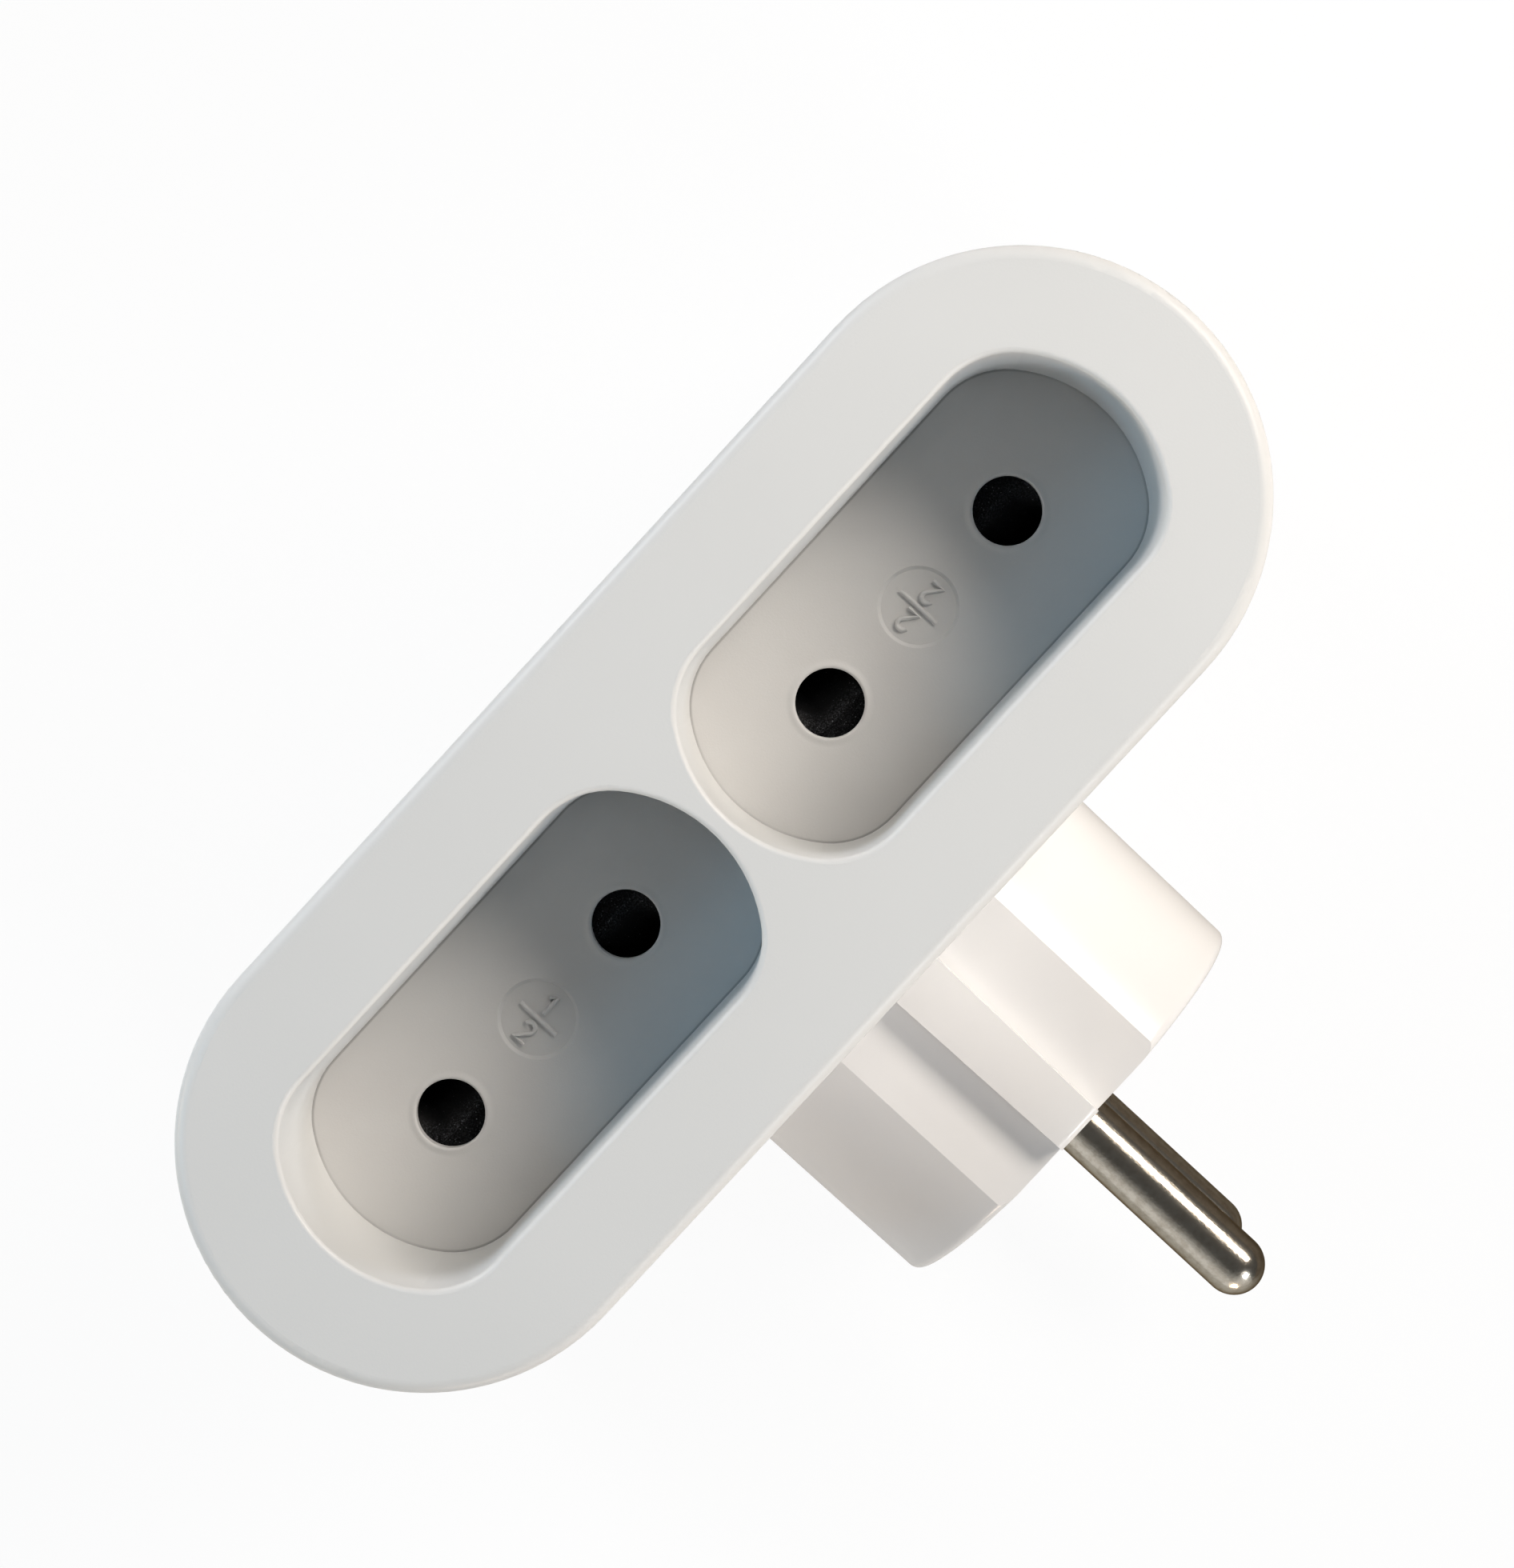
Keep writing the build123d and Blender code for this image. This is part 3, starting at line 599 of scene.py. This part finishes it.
def white_floor(stage):
    """A pale floor that the camera sees mostly as plain white, with its shadow kept, and that gloss
    sees as a painted reflection, pale away from the key lamp and dark under it.
    """
    shader = Shader(bpy.data.materials.new("white_floor"))
    tone = shader.blend(shader.noise(stage.floor_cloud), stage.floor, stage.floor_shade)
    shader.finish(base_color=tone, roughness=stage.floor_roughness)
    plain = Value(shader, shader.surface.outputs["BSDF"])
    camera, glossy, through = shader.sight_rays()
    # Painted reflection: glossy rays see the floor pale towards -X and dark brown towards +X, under
    # the key lamp
    across = shader.axis("X") * (1.0 / stage.painted_dusk_reach)
    dusk = shader.mask(RAMP_MIDDLE + across, low=0.32, high=0.64)
    mirrored = shader.blend(glossy, WHITE, stage.floor_painted_gleam)
    gleam = shader.blend(glossy * dusk, mirrored, stage.floor_painted_dusk)
    glow = shader.add("ShaderNodeEmission", inputs={"Color": gleam, "Strength": 1.0})
    seen = camera.larger(glossy).larger(through) * stage.floor_glow
    mixed = shader.add("ShaderNodeMixShader", inputs={0: seen, 1: plain, 2: glow})
    shader.feed(shader.tree.nodes["Material Output"].inputs["Surface"], mixed)
    return shader.holder


def studio_world(stage):
    """Even light; the camera sees white, and gloss mirrors one bright wall and a dim ceiling."""
    world = bpy.data.worlds.new("studio")
    shader = Shader(world, surface="Background", coordinates="Generated")
    camera, glossy, through = shader.sight_rays()
    low_part = 1.0 - shader.mask(shader.axis("Z"), low=0.42, high=0.92)
    across = RAMP_MIDDLE + RAMP_MIDDLE * shader.axis("X")
    bright_side = 1.0 - shader.mask(across, low=0.42, high=0.6)
    wall = stage.ceiling + (1.0 - stage.ceiling) * low_part * bright_side
    seen = camera.larger(glossy * wall).larger(through)
    return shader.finish(color=(*WHITE, 1.0), strength=seen.larger(stage.ambient))


# Mesh building


def frame_piece(name):
    """A piece of the frame by its name."""
    if name not in frame["nodes"]:
        raise RuntimeError(f"the frame has no piece named {name}")
    return frame["nodes"][name]


def dress(material, *names):
    """Give some of the frame's pieces a finish."""
    for name in names:
        slots = frame_piece(name).data.materials
        slots.clear()
        slots.append(material)


def add_piece(name, bm, material, body):
    """Turn a finished bmesh into a piece that rides on a body."""
    bmesh.ops.recalc_face_normals(bm, faces=bm.faces)
    mesh = bpy.data.meshes.new(name)
    bm.to_mesh(mesh)
    bm.free()
    mesh.shade_smooth()
    mesh.set_sharp_from_angle(angle=SHARP_ANGLE)
    mesh.materials.append(material)
    piece = bpy.data.objects.new(name, mesh)
    bpy.context.scene.collection.objects.link(piece)
    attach(piece, body)


def turned_ring(profile, centre, segments):
    """A closed ring turned about +Z from a closed profile of radius and height."""
    bm = bmesh.new()
    hoops = []
    for index in range(segments):
        angle = 2 * math.pi * index / segments
        out = Vector((math.cos(angle), math.sin(angle), 0.0))
        points = [centre + out * radius + Vector((0.0, 0.0, height)) for radius, height in profile]
        hoops.append([bm.verts.new(point) for point in points])
    for index, hoop in enumerate(hoops):
        following = hoops[(index + 1) % segments]
        for corner in range(len(profile)):
            after = (corner + 1) % len(profile)
            bm.faces.new((hoop[corner], following[corner], following[after], hoop[after]))
    return bm


def ridge(bm, points, radius, rise, sides):
    """A round-backed ridge along a line of points that lie on a level surface."""
    sections = []
    last = len(points) - 1
    for index, point in enumerate(points):
        along = points[min(index + 1, last)] - points[max(index - 1, 0)]
        across = Vector((-along.y, along.x, 0.0)).normalized()
        section = []
        for side in range(sides + 1):
            angle = math.pi * side / sides
            up = Vector((0.0, 0.0, rise * math.sin(angle)))
            section.append(bm.verts.new(point + across * radius * math.cos(angle) + up))
        sections.append(section)
    for before, after in zip(sections, sections[1:]):
        for side in range(sides):
            bm.faces.new((before[side], after[side], after[side + 1], before[side + 1]))
        bm.faces.new((before[0], before[sides], after[sides], after[0]))
    bm.faces.new(sections[0])
    bm.faces.new(list(reversed(sections[-1])))


def bow(start, sweep, radius, middle, steps):
    """Points along an arc about a middle on the number's upright line, by angles in degrees."""
    angles = [math.radians(start + sweep * step / steps) for step in range(steps + 1)]
    return [(radius * math.cos(angle), middle + radius * math.sin(angle)) for angle in angles]


# Numbers, drawn in strokes one unit high about their middle
DIGITS = {
    "1": [(-0.24, 0.24), (0.04, 0.5), (0.04, -0.5)],
    "2": [
        *bow(start=170.0, sweep=-215.0, radius=0.26, middle=0.24, steps=14),
        (-0.3, -0.5),
        (0.32, -0.5),
    ],
}
BAR = [(-1.1, 0.0), (1.1, 0.0)]
DIGIT_MIDDLE = 0.82
# Each socket's number over the count of sockets, and the way along X that its top faces
SOCKET_MARKS = {"left": ("1", "2", 1.0), "right": ("2", "2", -1.0)}
HOLE_PLACES = ("outer", "inner")


def socket_hole(side, hole_place):
    """Centre and radius in metres of one of a socket's pin holes."""
    name = f"{side}_socket_{hole_place}_hole"
    for mount in frame["record"]["mounts"]:
        if mount["name"] == name:
            return Vector(mount["pos_m"]), mount["dims"]["r_mm"] / MILLIMETRES_PER_METRE
    raise RuntimeError(f"the record has no mount named {name}")


# Operators


class ADAPTER_OT_housing(bpy.types.Operator):
    """Finish the two halves of the housing, and the screws and washers"""

    bl_idname = "adapter.housing"
    bl_label = "Finish housing"

    def execute(self, context):
        settings = context.scene.adapter_finishes, context.scene.adapter_grain
        dress(satin_plastic(*settings), "front_cover", "rear_housing")
        dress(zinc_steel(*settings), "housing_screws", "shutter_washers")
        return {"FINISHED"}


class ADAPTER_OT_recess_floors(bpy.types.Operator):
    """Finish the recess floors, with a swell round each hole and a raised number in each disc"""

    bl_idname = "adapter.recess_floors"
    bl_label = "Finish recess floors"
    ring_steps = 14
    ring_segments = 96
    digit_sides = 8

    def execute(self, context):
        details = context.scene.adapter_details
        finish = matt_plastic(context.scene.adapter_finishes, context.scene.adapter_grain, details)
        dress(finish, "socket_plate_left", "socket_plate_right")
        for side in SOCKET_MARKS:
            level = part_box(f"socket_plate_{side}")[1].z
            feet = []
            for hole_place in HOLE_PLACES:
                hole, radius = socket_hole(side, hole_place)
                foot = Vector((hole.x, hole.y, level))
                self.add_ring(details, f"hole_ring_{side}_{hole_place}", foot, radius, finish)
                feet.append(foot)
            centre = (feet[0] + feet[1]) / 2 - Vector((0.0, 0.0, details.disc_depth))
            self.add_number(details, side, centre, finish)
        return {"FINISHED"}

    def add_ring(self, details, name, foot, radius, finish):
        """The low swell round one pin hole, steep at the hole and level with the floor outside."""
        crown = [(radius, -details.ring_root)]
        for step in range(self.ring_steps + 1):
            part = step / self.ring_steps
            swell = math.sin(math.pi * math.sqrt(part)) ** 2
            crown.append((radius + details.ring_width * part, details.ring_height * swell))
        crown.append((radius + details.ring_width, -details.ring_root))
        bm = turned_ring(crown, foot, self.ring_segments)
        add_piece(name, bm, finish, "housing")

    def add_number(self, details, side, centre, finish):
        """A socket's number over the count of sockets, with a bar between and its top along X."""
        over, under, facing = SOCKET_MARKS[side]
        strokes = [
            [(x, y + DIGIT_MIDDLE) for x, y in DIGITS[over]],
            BAR,
            [(x, y - DIGIT_MIDDLE) for x, y in DIGITS[under]],
        ]
        unit = details.digit_height * facing
        bm = bmesh.new()
        for stroke in strokes:
            points = [centre + Vector((y, -x, 0.0)) * unit for x, y in stroke]
            ridge(bm, points, details.digit_stroke, details.digit_rise, self.digit_sides)
        add_piece(f"socket_number_{side}", bm, finish, "housing")


class ADAPTER_OT_shutters(bpy.types.Operator):
    """Finish the shutters behind the pin holes and their springs"""

    bl_idname = "adapter.shutters"
    bl_label = "Finish shutters"

    def execute(self, context):
        settings = context.scene.adapter_finishes, context.scene.adapter_grain
        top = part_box("shutter_left")[1].z
        # The shutter material's paler top is partly painted light
        rubbed = black_plastic(*settings, context.scene.adapter_details, top)
        dress(rubbed, "shutter_left", "shutter_right")
        dress(spring_wire(*settings), "shutter_spring_left", "shutter_spring_right")
        return {"FINISHED"}


class ADAPTER_OT_contacts(bpy.types.Operator):
    """Finish the contact carriers, clips, rivets and strips inside"""

    bl_idname = "adapter.contacts"
    bl_label = "Finish contacts"

    def execute(self, context):
        settings = context.scene.adapter_finishes, context.scene.adapter_grain
        dress(carrier_plastic(*settings), "contact_carrier_left", "contact_carrier_right")
        dress(
            rolled_brass(*settings),
            "contact_clip_left_outer",
            "contact_clip_left_inner",
            "contact_clip_right_outer",
            "contact_clip_right_inner",
            "contact_rivets",
            "live_bus_bar",
            "neutral_bus_bar",
        )
        return {"FINISHED"}


class ADAPTER_OT_plug(bpy.types.Operator):
    """Finish the plug base and its pins"""

    bl_idname = "adapter.plug"
    bl_label = "Finish plug"

    def execute(self, context):
        settings = context.scene.adapter_finishes, context.scene.adapter_grain
        dress(gloss_plastic(*settings), "plug_body")
        dress(nickel_plating(*settings), "plug_pin_upper", "plug_pin_lower")
        return {"FINISHED"}


class ADAPTER_OT_stage(bpy.types.Operator):
    """Lay the floor, hang the lamps and set the camera"""

    bl_idname = "adapter.stage"
    bl_label = "Set stage"
    lamp_names = ("key", "front", "back", "low", "fill", "side")

    def execute(self, context):
        scene = context.scene
        self.lay_floor(scene, scene.adapter_stage)
        scene.world = studio_world(scene.adapter_stage)
        for name in self.lamp_names:
            self.hang_lamp(scene, scene.adapter_lamps, name)
        self.set_camera(scene, scene.adapter_camera)
        scene.view_settings.view_transform = "Standard"
        return {"FINISHED"}

    def lay_floor(self, scene, stage):
        """A flat square floor at the object's foot."""
        bm = bmesh.new()
        bmesh.ops.create_grid(bm, x_segments=2, y_segments=2, size=stage.floor_size / 2)
        mesh = bpy.data.meshes.new("floor")
        bm.to_mesh(mesh)
        bm.free()
        mesh.materials.append(white_floor(stage))
        floor = bpy.data.objects.new("floor", mesh)
        floor.location.z = cad_box[0].z
        scene.collection.objects.link(floor)

    def hang_lamp(self, scene, lamps, name):
        """One soft lamp that faces the target."""

        def setting(key):
            return getattr(lamps, f"{name}_{key}")

        lamp = bpy.data.lights.new(f"{name}_lamp", "AREA")
        lamp.energy = setting("power")
        lamp.color = setting("colour")
        lamp.shape = "RECTANGLE"
        lamp.size = setting("width")
        lamp.size_y = setting("height")
        azimuth, elevation = setting("azimuth"), setting("elevation")
        level = math.cos(elevation)
        away = Vector((level * math.cos(azimuth), level * math.sin(azimuth), math.sin(elevation)))
        holder = bpy.data.objects.new(f"{name}_lamp", lamp)
        holder.location = Vector(lamps.target) + away * setting("distance")
        holder.rotation_euler = away.to_track_quat("Z", "Y").to_euler()
        holder.visible_camera = False
        scene.collection.objects.link(holder)

    def set_camera(self, scene, settings):
        """The camera at the picture's own angle, with its lens."""
        data = bpy.data.cameras.new("camera")
        data.sensor_width = SENSOR_WIDTH
        data.lens = settings.focal_pixels / PICTURE_LONG_SIDE * SENSOR_WIDTH
        camera = bpy.data.objects.new("camera", data)
        tilt = Matrix.Rotation(-settings.pitch, 4, "X")
        level = Matrix.Rotation(-settings.yaw, 4, "Y")
        roll = Matrix.Rotation(-settings.roll, 4, "Z")
        camera.matrix_world = Matrix.Translation(settings.position) @ tilt @ level @ roll
        scene.collection.objects.link(camera)
        scene.camera = camera


class ADAPTER_PT_panel(bpy.types.Panel):
    """The adapter's steps and settings"""

    bl_idname = "ADAPTER_PT_panel"
    bl_label = "Socket adapter"
    bl_space_type = "VIEW_3D"
    bl_region_type = "UI"
    bl_category = "Adapter"

    def draw(self, context):
        for step in STEPS:
            self.layout.operator(step.bl_idname)
        for name, group in SETTINGS.items():
            box = self.layout.box()
            settings = getattr(context.scene, name)
            for key in group.__annotations__:
                box.prop(settings, key)


SETTINGS = {
    "adapter_finishes": AdapterFinishes,
    "adapter_grain": AdapterGrain,
    "adapter_details": AdapterDetails,
    "adapter_stage": AdapterStage,
    "adapter_lamps": AdapterLamps,
    "adapter_camera": AdapterCamera,
}
STEPS = (
    ADAPTER_OT_housing,
    ADAPTER_OT_recess_floors,
    ADAPTER_OT_shutters,
    ADAPTER_OT_contacts,
    ADAPTER_OT_plug,
    ADAPTER_OT_stage,
)


def register():
    for name, group in SETTINGS.items():
        bpy.utils.register_class(group)
        setattr(bpy.types.Scene, name, bpy.props.PointerProperty(type=group))
    for step in STEPS:
        bpy.utils.register_class(step)
    bpy.utils.register_class(ADAPTER_PT_panel)


def unregister():
    bpy.utils.unregister_class(ADAPTER_PT_panel)
    for step in reversed(STEPS):
        bpy.utils.unregister_class(step)
    for name, group in SETTINGS.items():
        delattr(bpy.types.Scene, name)
        bpy.utils.unregister_class(group)


def main():
    register()
    bpy.ops.adapter.housing()
    bpy.ops.adapter.recess_floors()
    bpy.ops.adapter.shutters()
    bpy.ops.adapter.contacts()
    bpy.ops.adapter.plug()
    bpy.ops.adapter.stage()


if __name__ == "__main__":
    main()
